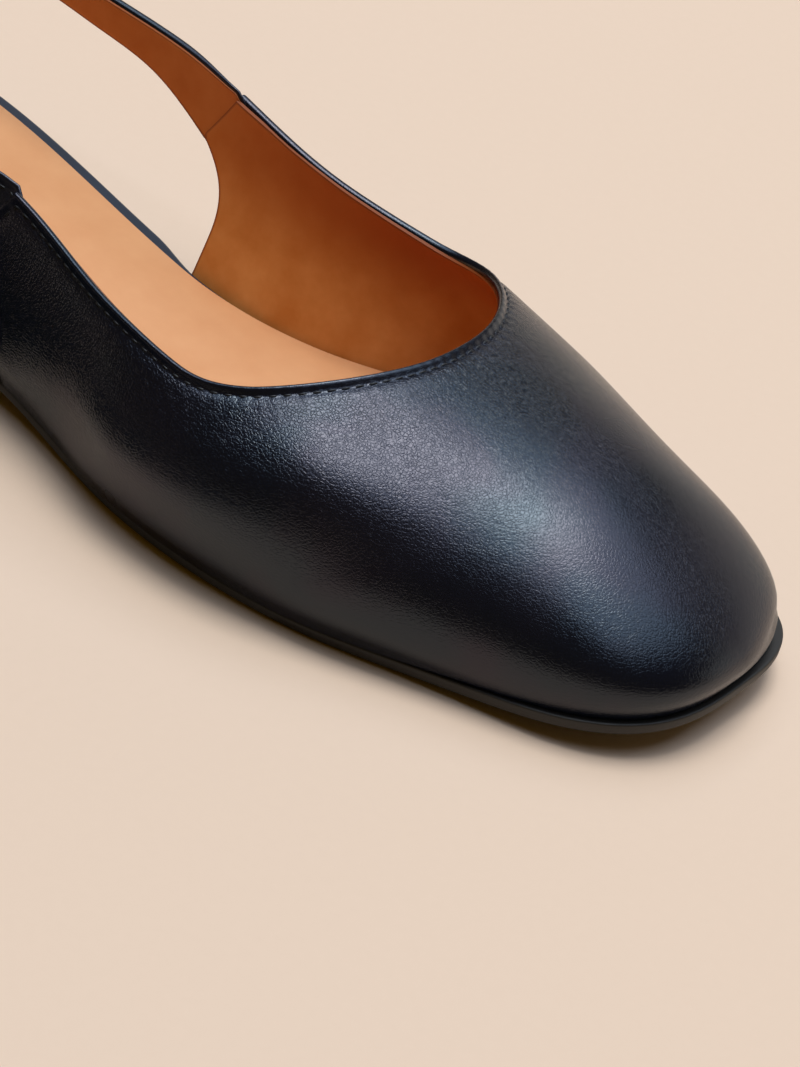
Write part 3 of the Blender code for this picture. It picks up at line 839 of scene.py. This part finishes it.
class StageSettings(bpy.types.PropertyGroup):
    """Camera, lights and floor."""

    camera_place: bpy.props.FloatVectorProperty(
        name="Camera", description="Where the camera stands",
        default=(-0.4541, -0.3998, 0.3449), subtype="TRANSLATION",
    )
    camera_aim: bpy.props.FloatVectorProperty(
        name="Aim", description="The point that the camera looks at",
        default=(-0.02664, -0.17298, 0.020), subtype="TRANSLATION",
    )
    camera_roll: bpy.props.FloatProperty(
        name="Roll", description="How far the camera is turned round its own axis",
        default=math.radians(15.75), subtype="ANGLE",
    )
    lens: bpy.props.FloatProperty(
        name="Lens", description="Focal length in millimetres on a 36 mm long side", default=127.3
    )
    floor: colour_property("Floor", "Colour of the backdrop paper", "E2C6AD")
    floor_shade: colour_property("Floor shade", "Darker fibres of the backdrop paper", "E0C4AB")
    light_colour: colour_property("Light colour", "Colour of the overhead softbox's bright middle", "E8EAE8")
    sky_colour: colour_property("Sky colour", "Colour of the wide overhead softbox, a cool one", "CBE1FF")
    overhead_size: length_property("Overhead size", "Side of the wide overhead softbox", 3000, 8000)
    overhead_radiance: bpy.props.FloatProperty(
        name="Overhead radiance", description="Brightness of the wide softbox's face", default=2.35
    )
    key_size: length_property("Key size", "Side of the softbox's bright middle", 1000, 8000)
    key_radiance: bpy.props.FloatProperty(
        name="Key radiance", description="Brightness that the bright middle adds", default=12.5
    )
    key_azimuth: bpy.props.FloatProperty(
        name="Key azimuth", description="Bearing of the bright middle, from the toe towards +X",
        default=math.radians(112), subtype="ANGLE"
    )
    key_elevation: bpy.props.FloatProperty(
        name="Key elevation", description="Height of the bright middle over the horizon",
        default=math.radians(84), subtype="ANGLE"
    )
    light_distance: length_property("Light distance", "How far the lights hang from the shoe", 2400, 8000)
    fill_radiance: bpy.props.FloatProperty(
        name="Fill radiance", description="Brightness of the panel beyond the shoe", default=0.62
    )
    world: colour_property("World", "Colour of the room's dim light", "52420C")


def edge_fields(base):
    """Distances of a grid's points from its topline and from its rear edges."""
    rows, columns = base.shape[:2]
    points = base.reshape(-1, 3)
    top = nearest_on_line(points, base[0])[0]
    rear = np.minimum(nearest_on_line(points, base[:, 0])[0], nearest_on_line(points, base[:, -1])[0])
    return top.reshape(rows, columns), rear.reshape(rows, columns)


def from_any_edge(top, rear):
    """Distance from the nearer of two edges, rounded off in the corner between them."""
    return (np.maximum(top, 1e-9) ** -4 + np.maximum(rear, 1e-9) ** -4) ** -0.25


def fold_height(distance, face):
    """Height over the last of the fold's outer or inner face."""
    return np.interp(distance / MM, [row.distance for row in FOLD], [getattr(row, face) for row in FOLD]) * MM


def crossing(values, at, *grids):
    """The grids' rows at the place where values, which rise along them, first reach at."""
    i = int(np.argmax(values >= at))
    t = (at - values[i - 1]) / (values[i] - values[i - 1])
    return [grid[i - 1] + t * (grid[i] - grid[i - 1]) for grid in grids]


def stitch_line(base, normals, top, rear, at):
    """The line that the stitches follow, at this distance from the folded edge, from foot to foot."""
    rows, columns = top.shape
    half = columns // 2
    middle = []
    for c in range(columns):
        point, normal, behind = crossing(top[:, c], at, base[:, c], normals[:, c], rear[:, c])
        if behind > at:
            middle.append((point, normal))
    sides = []
    for flip in (1, -1):
        side = []
        for r in range(rows):
            row = slice(None, half) if flip == 1 else slice(None, half, -1)
            point, normal, below = crossing(rear[r, row], at, base[r, row], normals[r, row], top[r, row])
            if below > at and point[2] > base[-1, row][0][2] + 1.5 * MM:
                side.append((point, normal))
        sides.append(side)
    line = sides[0][::-1] + middle + sides[1]
    return np.array([point for point, _ in line]), np.array([normal for _, normal in line])


def stitches(name, runs, sizes, material):
    """Thread stitches along runs, which are pairs of a line and its normals. Each dives in at both ends."""
    points, faces = [], []
    sides, rings = STITCH_SIDES, STITCH_RINGS
    turn = np.linspace(0, 2 * math.pi, sides, endpoint=False)
    for line, normals in runs:
        lengths = running_length(line)
        count = int(lengths[-1] / sizes.stitch_pitch)
        pitch = lengths[-1] / count
        for i in range(count):
            along = np.linspace(-0.5, 0.5, rings)
            at = (i + 0.5) * pitch + along * sizes.stitch_length
            centre = np.stack([np.interp(at, lengths, axis) for axis in line.T], axis=-1)
            up = np.stack([np.interp(at, lengths, axis) for axis in normals.T], axis=-1)
            up /= np.linalg.norm(up, axis=1, keepdims=True)
            forward = np.gradient(centre, axis=0)
            forward /= np.linalg.norm(forward, axis=1, keepdims=True)
            across = np.cross(forward, up)
            centre = centre + up * (sizes.thread * (0.75 * np.cos(along * math.pi) - 0.75))[:, None]
            radius = sizes.thread / 2 * (1 - 0.35 * (2 * np.abs(along)) ** 4)
            ring = centre[:, None] + radius[:, None, None] * (
                np.cos(turn)[None, :, None] * up[:, None] + np.sin(turn)[None, :, None] * across[:, None]
            )
            first = len(points)
            points.extend(ring.reshape(-1, 3))
            for r in range(rings - 1):
                for s in range(sides):
                    a, b = first + r * sides + s, first + r * sides + (s + 1) % sides
                    faces.append((a, b, b + sides, a + sides))
            faces.append(tuple(range(first, first + sides)))
            faces.append(tuple(range(first + (rings - 1) * sides, first + rings * sides)))
    return make_mesh(name, points, faces, material)


def roll_in(base, normals, sizes):
    """How far each point of a grid on the last is drawn in: where the upper rolls under to meet the sole, and
    on the inner side of the toe, whose wall leans in."""
    above_foot = base[..., 2] - base[-1, :, 2]
    out, station = base[..., 0], HEEL_CENTRE - base[..., 1]
    lean = ramp(out, *LEAN_OUT) * ramp(station, *LEAN_ALONG) * ramp(above_foot, *LEAN_UP)
    lean = sizes.toe_lean * lean * (1 - normals[..., 2] ** 2)
    on_side = (1 - ramp(station, *ROLL_EASES_ALONG)) * (1 - ramp(out, *ROLL_EASES_OUT))
    depth = sizes.roll_at_toe + (sizes.roll_under - sizes.roll_at_toe) * on_side
    height = ROLL_HEIGHT_AT_TOE + (ROLL_HEIGHT_AT_SIDE - ROLL_HEIGHT_AT_TOE) * on_side
    return lean + depth * np.clip(1 - above_foot / height, 0, 1) ** 2


class ShoeOperator:
    """Shared by the operators: a button that can be undone."""

    bl_options = {"REGISTER", "UNDO"}


class SHOE_OT_upper(ShoeOperator, bpy.types.Operator):
    """Outer leather of the vamp and wings, with its folded edge and the stitches along it"""

    bl_idname = "shoe.upper"
    bl_label = "Upper leather"

    def execute(self, context):
        sizes, colours = context.scene.shoe_sizes, context.scene.shoe_colours
        margin = np.array([row.distance for row in FOLD]) * MM
        base = upper_base(margin, UPPER_COLUMN_STEP, UPPER_ROWS)
        normals = grid_normals(base)
        top, rear = edge_fields(base)
        edge = from_any_edge(top, rear)
        line, line_normals = stitch_line(base, normals, top, rear, sizes.stitch_line)
        apart, run = (values.reshape(edge.shape) for values in nearest_on_line(base.reshape(-1, 3), line))
        gather = np.cos(2 * math.pi * run / sizes.stitch_pitch) * np.exp(-apart / PUCKER_REACH)
        gather = gather * ramp(edge, *PUCKER_FROM_EDGE)
        waver = np.array([noise.noise(Vector(point / WAVER_LENGTH)) for point in base.reshape(-1, 3)])
        above_foot = base[..., 2] - base[-1, :, 2]
        waver = waver.reshape(edge.shape) * ramp(edge, *WAVER_FROM_EDGE) * ramp(above_foot, *WAVER_FROM_FOOT)
        shoulder = ramp(-base[..., 0], *SHOULDER_OUT) * ramp(HEEL_CENTRE - base[..., 1], *SHOULDER_ALONG)
        shoulder = shoulder * ramp(edge, *SHOULDER_SWELLS) * (1 - ramp(edge, *SHOULDER_FADES))
        lift = sizes.shoulder * shoulder + sizes.pucker * gather + sizes.ripple * waver
        lift = lift - roll_in(base, normals, sizes)
        outer = base + normals * (fold_height(edge, "outer") + lift)[..., None]
        inner = base + normals * (fold_height(edge, "inner") + lift)[..., None]
        inner = np.where(edge[..., None] < 1e-6, outer, inner)
        navy = colours.navy, colours.navy_light, colours.sheen, colours.sheen_violet
        leather = finished_calf("navy_plated_calf", navy, sizes.grain, sizes.grain_depth, 0.24)
        make_sheet("upper_leather", outer, inner, leather, ["upper"], {"edge_distance": edge})
        thread = bonded_thread("navy_bonded_thread", colours.thread, colours.thread_painted_glint)
        line = line + line_normals * (fold_height(sizes.stitch_line, "outer") + STITCH_RISE * sizes.thread)
        stitches("upper_stitches", [(line, line_normals)], sizes, thread)
        return {"FINISHED"}


class SHOE_OT_lining(ShoeOperator, bpy.types.Operator):
    """Tan lining of the vamp and wings, cut short of the folded edge and swelling over the strap's ends"""

    bl_idname = "shoe.lining"
    bl_label = "Lining"

    def execute(self, context):
        sizes, colours = context.scene.shoe_sizes, context.scene.shoe_colours
        margin = np.array(LINING_STEPS) * MM
        base = upper_base(margin, LINING_COLUMN_STEP, LINING_ROWS, sizes.lining_trim, sizes.rear_trim)
        normals = grid_normals(base)
        swell = 0
        for side in (base[:, 0], base[:, -1]):
            share = (side[:, 2] - side[-1, 2]) / (side[0, 2] - side[-1, 2])
            apart = nearest_on_line(base.reshape(-1, 3), side[share > NOTCH_END])[0].reshape(base.shape[:2])
            swell = swell + ease(1 - apart / JOINT_SWELL_REACH)
        sunk = JOINT_SWELL * swell + roll_in(base, normals, sizes)
        edge = np.minimum(*edge_fields(base))
        rounding = CUT_ROUNDING * (1 - ease(edge / CUT_ROUND_WIDTH))
        outer = base - normals * (sizes.leather + sunk)[..., None]
        inner = base - normals * (sizes.leather + sizes.lining - rounding + sunk)[..., None]
        # The lining's third colour is painted shade up the walls and towards the throat
        tans = colours.lining, colours.lining_shade, colours.lining_painted_shade, colours.lining_cut
        tan = lining_leather("tan_lining_painted_shade", *tans, 0.62)
        make_sheet("upper_lining", outer, inner, tan, attributes={"edge_distance": edge})
        return {"FINISHED"}


def wall_x(side, station, z):
    """Where the last's surface, run on behind the wings, stands at this height. side is 1 or -1."""
    base = sole_rise(station) + OUTSOLE_THICKNESS + GAP + FOOT_STRIP
    level = (z - base) / (crown(station) - FOOT_STRIP)
    across = side * (1 - level ** crown_power(station)) ** (1 / wall_power(station))
    return last_point(station, across)[..., 0]


def strap_base(steps, under_wing, top_trim=0.0, bottom_trim=0.0):
    """A grid on the strap's outer face, from under one wing round the heel to under the other.

    Rows lie at these steps in from the strap's trimmed edges, and one along its middle. Returns the grid,
    each point's distance from the nearer edge, and how far each column is from the wing, below 0 under it.
    """
    reach = WING_NOTCH - STRAP_BACK
    forward = [row.forward for row in STRAP_SECTIONS]
    climb = STRAP_HEIGHT - STRAP_JOINT
    height = smooth_curve(forward, [STRAP_JOINT + row.rise * climb for row in STRAP_SECTIONS])
    width = smooth_curve(forward, [row.width * STRAP_WIDTH for row in STRAP_SECTIONS])
    rise, fall = superellipse(STRAP_SQUARENESS, STRAP_COLUMNS // 2)
    tucked = np.linspace(0, under_wing, 8)[1:]
    rise = np.append(rise, np.ones(len(tucked)))
    along = np.append(1 - fall, 1 + tucked / reach)[None, :]
    tucked = np.maximum(along - 1, 0) * reach
    wide = width(along) - TUCK_TAPER * tucked
    level = np.ones_like(wide)
    above = (top_trim + steps)[:, None] * level
    below = wide - (bottom_trim + steps)[::-1, None] * level
    from_top = np.concatenate([above, wide / 2, below])
    up = 0.5 - from_top / wide
    fade = ease(1 - (1 - along) * reach / STRAP_FADE)
    z = height(along) - TUCK_DROP * tucked + up * wide
    station = STRAP_BACK + along * reach + fade * ((up + 0.5) * (WING_TIP - WING_NOTCH) - GAP)
    sides = []
    for side in (-1, 1):
        round_heel = wall_x(side, WING_NOTCH, STRAP_JOINT) * rise[None, :] - side * up * STRAP_LEAN
        beside_wing = wall_x(side, station, STRAP_JOINT + fade * (z - STRAP_JOINT))
        sides.append(place(station, fade * beside_wing + (1 - fade) * round_heel, z))
    edge = np.minimum(from_top, wide - from_top)
    to_wing = (1 - along) * reach * np.ones_like(edge)
    both = (sides[0], sides[1]), (edge, edge), (to_wing, to_wing)
    return [np.concatenate([first[:, ::-1], second[:, 1:]], axis=1) for first, second in both]


class SHOE_OT_strap(ShoeOperator, bpy.types.Operator):
    """Sling strap: folded navy leather, tan lining and a row of stitches along each edge"""

    bl_idname = "shoe.strap"
    bl_label = "Sling strap"

    def execute(self, context):
        sizes, colours = context.scene.shoe_sizes, context.scene.shoe_colours

        def sunk(to_wing):
            """Offset and thickness scale of the strap, which dips and thins towards the wing."""
            joint = ease(1 - to_wing / STRAP_DIP_LENGTH)
            return -sizes.strap_dip * joint, 1 - joint * (1 - sizes.skived_strap / UPPER_WALL)

        steps = np.array([row.distance for row in FOLD if row.distance * MM < STRAP_FOLD_WIDTH]) * MM
        base, edge, to_wing = strap_base(steps, LEATHER_UNDER_WING)
        normals = grid_normals(base)
        dip, thin = sunk(to_wing)
        outer = base + normals * (dip + thin * fold_height(edge, "outer"))[..., None]
        inner = base + normals * (dip + thin * fold_height(edge, "inner"))[..., None]
        navy = colours.navy, colours.navy_light, colours.sheen, colours.sheen_violet
        leather = finished_calf("navy_strap_calf", navy, sizes.grain, sizes.grain_depth, 0.3)
        inner = np.where(edge[..., None] < 1e-6, outer, inner)
        fields = {"edge_distance": edge}
        make_sheet("strap_leather", outer, inner, leather, ["sling_strap"], fields)

        steps = np.array(STRAP_LINING_STEPS) * MM
        base, edge, to_wing = strap_base(steps, LINING_UNDER_WING, sizes.lining_trim, sizes.rear_trim)
        normals = grid_normals(base)
        dip, thin = sunk(to_wing)
        corner = CUT_ROUNDING * (1 - ease(steps / CUT_ROUND_WIDTH))
        rounding = np.concatenate([corner, [0.0], corner[::-1]])[:, None]
        outer = base + normals * (dip - thin * sizes.leather)[..., None]
        inner = base + normals * (dip - thin * (sizes.leather + sizes.lining - rounding))[..., None]
        # The strap lining's third colour is painted shade up the walls and towards the throat
        tans = colours.lining, colours.lining_shade, colours.lining_painted_shade, colours.lining_cut
        tan = lining_leather("tan_strap_lining_painted_shade", *tans, 0.62)
        fields = {"edge_distance": edge - sizes.rear_trim}
        make_sheet("strap_lining", outer, inner, tan, attributes=fields)

        base, edge, to_wing = strap_base(np.array([0.0, sizes.stitch_line]), STITCHES_UNDER_WING)
        normals = grid_normals(base)
        dip, thin = sunk(to_wing)
        height = fold_height(edge, "outer") + STITCH_RISE * sizes.thread
        lines = base + normals * (dip + thin * height)[..., None]
        thread = bonded_thread("navy_strap_thread", colours.thread, colours.thread_painted_glint)
        stitches("strap_stitches", [(lines[row], normals[row]) for row in (1, -2)], sizes, thread)
        return {"FINISHED"}


def layer(inset, more, height):
    """A slab's layer: an outline this much more inside the last's own than inset, at this height."""
    return outline(lambda station: inset(station) + more), above_sole(height)


def rounded(inset, radius, top, bottom_radius=0.0, thickness=0.0, steps=5):
    """Layers of a slab with rounded edges: a quarter round on top and, if it has a radius, one underneath."""
    turn = np.linspace(0, math.pi / 2, steps)
    layers = [(radius * (1 - math.sin(t)), top - radius * (1 - math.cos(t))) for t in turn]
    if thickness:
        bottom = top - thickness
        layers += [
            (bottom_radius * (1 - math.cos(t)), bottom + bottom_radius * (1 - math.sin(t))) for t in turn
        ]
    return [layer(inset, more, height) for more, height in layers]


def change(before, after, start, end):
    """A length that goes from before to after between two stations."""
    return lambda station: before + (after - before) * ease((station - start) / (end - start))


class SHOE_OT_footbed(ShoeOperator, bpy.types.Operator):
    """Insole wrapped in navy leather, and the tan sock on it"""

    bl_idname = "shoe.footbed"
    bl_label = "Insole and sock"

    def execute(self, context):
        sizes, colours = context.scene.shoe_sizes, context.scene.shoe_colours
        # The wrap's lighter navy is partly a painted reflection of the sky over the navy leather
        navy = colours.wrap, colours.wrap_light, colours.sheen, colours.sheen
        wrap = finished_calf("navy_wrapped_insole", navy, 0.7 * sizes.grain, 0.5 * sizes.grain_depth, 0.4)
        top = GAP + INSOLE_THICKNESS
        inside = UPPER_WALL + WALL_CLEARANCE
        layers = rounded(change(0, inside, *WRAP_NARROWS), 1.0 * MM, top, 0.3 * MM, top)
        make_slab("insole_wrap", layers, wrap, ["insole"])

        tan = lining_leather("tan_sock_leather", colours.tan, colours.tan_shade, colours.tan, None, 0.6)
        narrow = change(0, sizes.sock_gap, *SOCK_NARROWS)
        widen = change(0, inside - sizes.sock_rim - sizes.sock_gap, *SOCK_WIDENS)

        def plan(station):
            return sizes.sock_rim + narrow(station) + widen(station)

        top += sizes.sock_edge
        layers = [layer(plan, SOCK_CROWN_WIDTH, top + SOCK_CROWN)]
        layers += rounded(plan, 0.4 * MM, top, 0.05 * MM, sizes.sock_edge + SOCK_SINK)
        make_slab("sock", layers, tan, ["sock_lining"])
        return {"FINISHED"}


class SHOE_OT_sole(ShoeOperator, bpy.types.Operator):
    """Rubber outsole with its trimmed edge, and the low heel block"""

    bl_idname = "shoe.sole"
    bl_label = "Outsole and heel"

    def execute(self, context):
        sizes, colours = context.scene.shoe_sizes, context.scene.shoe_colours
        rubber = moulded_rubber("black_brown_moulded_rubber", colours.sole, colours.sole_light, 0.55)
        beside = change(WALL_CLEARANCE, sizes.sole_inset, *SOLE_NARROWS)
        before = change(0, -sizes.sole_inset - sizes.toe_ledge, *SOLE_WIDENS)
        under = change(WAIST_BEVEL, 0, TREAD_BACK, SHOE_LENGTH - TOE_LENGTH)

        def wall(station):
            return beside(station) + before(station)

        def underside(station):
            return wall(station) + under(station)

        layers = [layer(wall, more * MM, height * MM) for more, height in SOLE_WALL]
        layers += [layer(underside, more * MM, height * MM) for more, height in SOLE_UNDERSIDE]
        make_slab("outsole_rubber", layers, rubber, ["outsole"])

        block = moulded_rubber("black_brown_heel_block", colours.sole, colours.sole_light, 0.5)
        inset = EDGE_ROUND + WAIST_BEVEL
        layers = []
        for more, share in HEEL_EDGE:
            taper = more * HEEL_TAPER
            plan = outline(lambda station, taper=taper: inset + taper, HEEL_BREAST - taper)
            layers.append((plan, lambda station, share=share: sole_rise(station) * share))
        make_slab("heel_block", layers, block, ["heel"])
        return {"FINISHED"}


def towards(azimuth, elevation):
    """Unit vector at this bearing, from the toe towards +X, and height over the horizon."""
    flat = math.cos(elevation)
    return Vector((math.sin(azimuth) * flat, -math.cos(azimuth) * flat, math.sin(elevation)))


def softbox(name, azimuth, elevation, distance, width, height, radiance, colour, aim):
    """A rectangular light that faces the shoe. radiance is the brightness of its face."""
    data = bpy.data.lights.new(name, "AREA")
    data.shape = "RECTANGLE"
    data.size, data.size_y = width, height
    data.energy = radiance * math.pi * width * height
    data.color = colour
    light = bpy.data.objects.new(name, data)
    bpy.context.scene.collection.objects.link(light)
    direction = towards(azimuth, elevation)
    light.location = aim + direction * distance
    light.rotation_euler = (-direction).to_track_quat("-Z", "Y").to_euler()
    return light


def flat_rectangle(name, left, right, front, back, material):
    """A stage piece: a flat rectangle at its own z = 0."""
    mesh = bpy.data.meshes.new(name)
    corners = [(left, front, 0), (right, front, 0), (right, back, 0), (left, back, 0)]
    mesh.from_pydata(corners, [], [(0, 1, 2, 3)])
    mesh.materials.append(material)
    piece = bpy.data.objects.new(name, mesh)
    bpy.context.scene.collection.objects.link(piece)
    return piece


class SHOE_OT_stage(ShoeOperator, bpy.types.Operator):
    """Paper floor, black card, two overhead softboxes, fill panel, room light and camera"""

    bl_idname = "shoe.stage"
    bl_label = "Stage"

    def execute(self, context):
        scene, stage = context.scene, context.scene.shoe_stage
        aim = Vector(stage.camera_aim)

        half = FLOOR_SIZE / 2
        paper = backdrop_paper("beige_backdrop_paper", stage.floor, stage.floor_shade)
        flat_rectangle("floor", -half, half, -half, half, paper)
        foam = moulded_rubber("black_foam_card", linear("060606"), linear("080808"), 0.9)
        card = flat_rectangle("black_card", -CARD_WIDTH, 0, -CARD_DEPTH, CARD_FRONT, foam)
        card.location = CARD_PLACE
        card.rotation_euler = (0, 0, CARD_TURN)
        # Only reflections see the card, so it darkens the wing as in the photo and the floor stays plain
        card.visible_camera = card.visible_shadow = card.visible_diffuse = False

        cool, plain = stage.sky_colour[:3], stage.light_colour[:3]
        away = stage.light_distance
        side = stage.overhead_size
        softbox("overhead", *OVERHEAD_DIRECTION, away, side, side, stage.overhead_radiance, cool, aim)
        side = stage.key_size
        key = stage.key_azimuth, stage.key_elevation
        softbox("key", *key, away, side, side, stage.key_radiance, plain, aim)
        panel = FILL_DISTANCE, FILL_WIDTH, FILL_HEIGHT
        softbox("fill", *FILL_DIRECTION, *panel, stage.fill_radiance, FILL_COLOUR, aim)

        world = bpy.data.worlds.new("room")
        world.use_nodes = True
        room = world.node_tree.nodes["Background"]
        room.inputs["Color"].default_value = stage.world
        scene.world = world
        scene.view_settings.view_transform = "Standard"

        data = bpy.data.cameras.new("camera")
        data.lens = stage.lens
        data.sensor_width = 36
        data.clip_start, data.clip_end = 0.01, 20
        camera = bpy.data.objects.new("camera", data)
        scene.collection.objects.link(camera)
        place_at = Vector(stage.camera_place)
        look = (aim - place_at).to_track_quat("-Z", "Y").to_matrix().to_4x4()
        camera.matrix_world = Matrix.Translation(place_at) @ look @ Matrix.Rotation(stage.camera_roll, 4, "Z")
        scene.camera = camera
        return {"FINISHED"}


class SHOE_PT_panel(bpy.types.Panel):
    """Lists the shoe's pieces in the order they are made"""

    bl_idname = "SHOE_PT_panel"
    bl_label = "Sling back flat"
    bl_space_type = "VIEW_3D"
    bl_region_type = "UI"
    bl_category = "Shoe"

    def draw(self, context):
        for operator in OPERATORS:
            self.layout.operator(operator.bl_idname)
        for group in (context.scene.shoe_sizes, context.scene.shoe_colours, context.scene.shoe_stage):
            box = self.layout.box()
            for key in group.bl_rna.properties.keys():
                if key not in ("rna_type", "name"):
                    box.prop(group, key)


GROUPS = {"shoe_sizes": ShoeSizes, "shoe_colours": ShoeColours, "shoe_stage": StageSettings}
OPERATORS = (SHOE_OT_upper, SHOE_OT_lining, SHOE_OT_strap, SHOE_OT_footbed, SHOE_OT_sole, SHOE_OT_stage)


def register():
    """Make the property groups, operators and panel known to Blender."""
    for key, group in GROUPS.items():
        bpy.utils.register_class(group)
        setattr(bpy.types.Scene, key, bpy.props.PointerProperty(type=group))
    for cls in (*OPERATORS, SHOE_PT_panel):
        bpy.utils.register_class(cls)


def unregister():
    """Take them out again, in reverse."""
    for cls in (SHOE_PT_panel, *OPERATORS[::-1]):
        bpy.utils.unregister_class(cls)
    for key, group in GROUPS.items():
        delattr(bpy.types.Scene, key)
        bpy.utils.unregister_class(group)


def main():
    """Build the shoe and its stage."""
    register()
    bpy.ops.shoe.upper()
    bpy.ops.shoe.lining()
    bpy.ops.shoe.strap()
    bpy.ops.shoe.footbed()
    bpy.ops.shoe.sole()
    bpy.ops.shoe.stage()


if __name__ == "__main__":
    main()
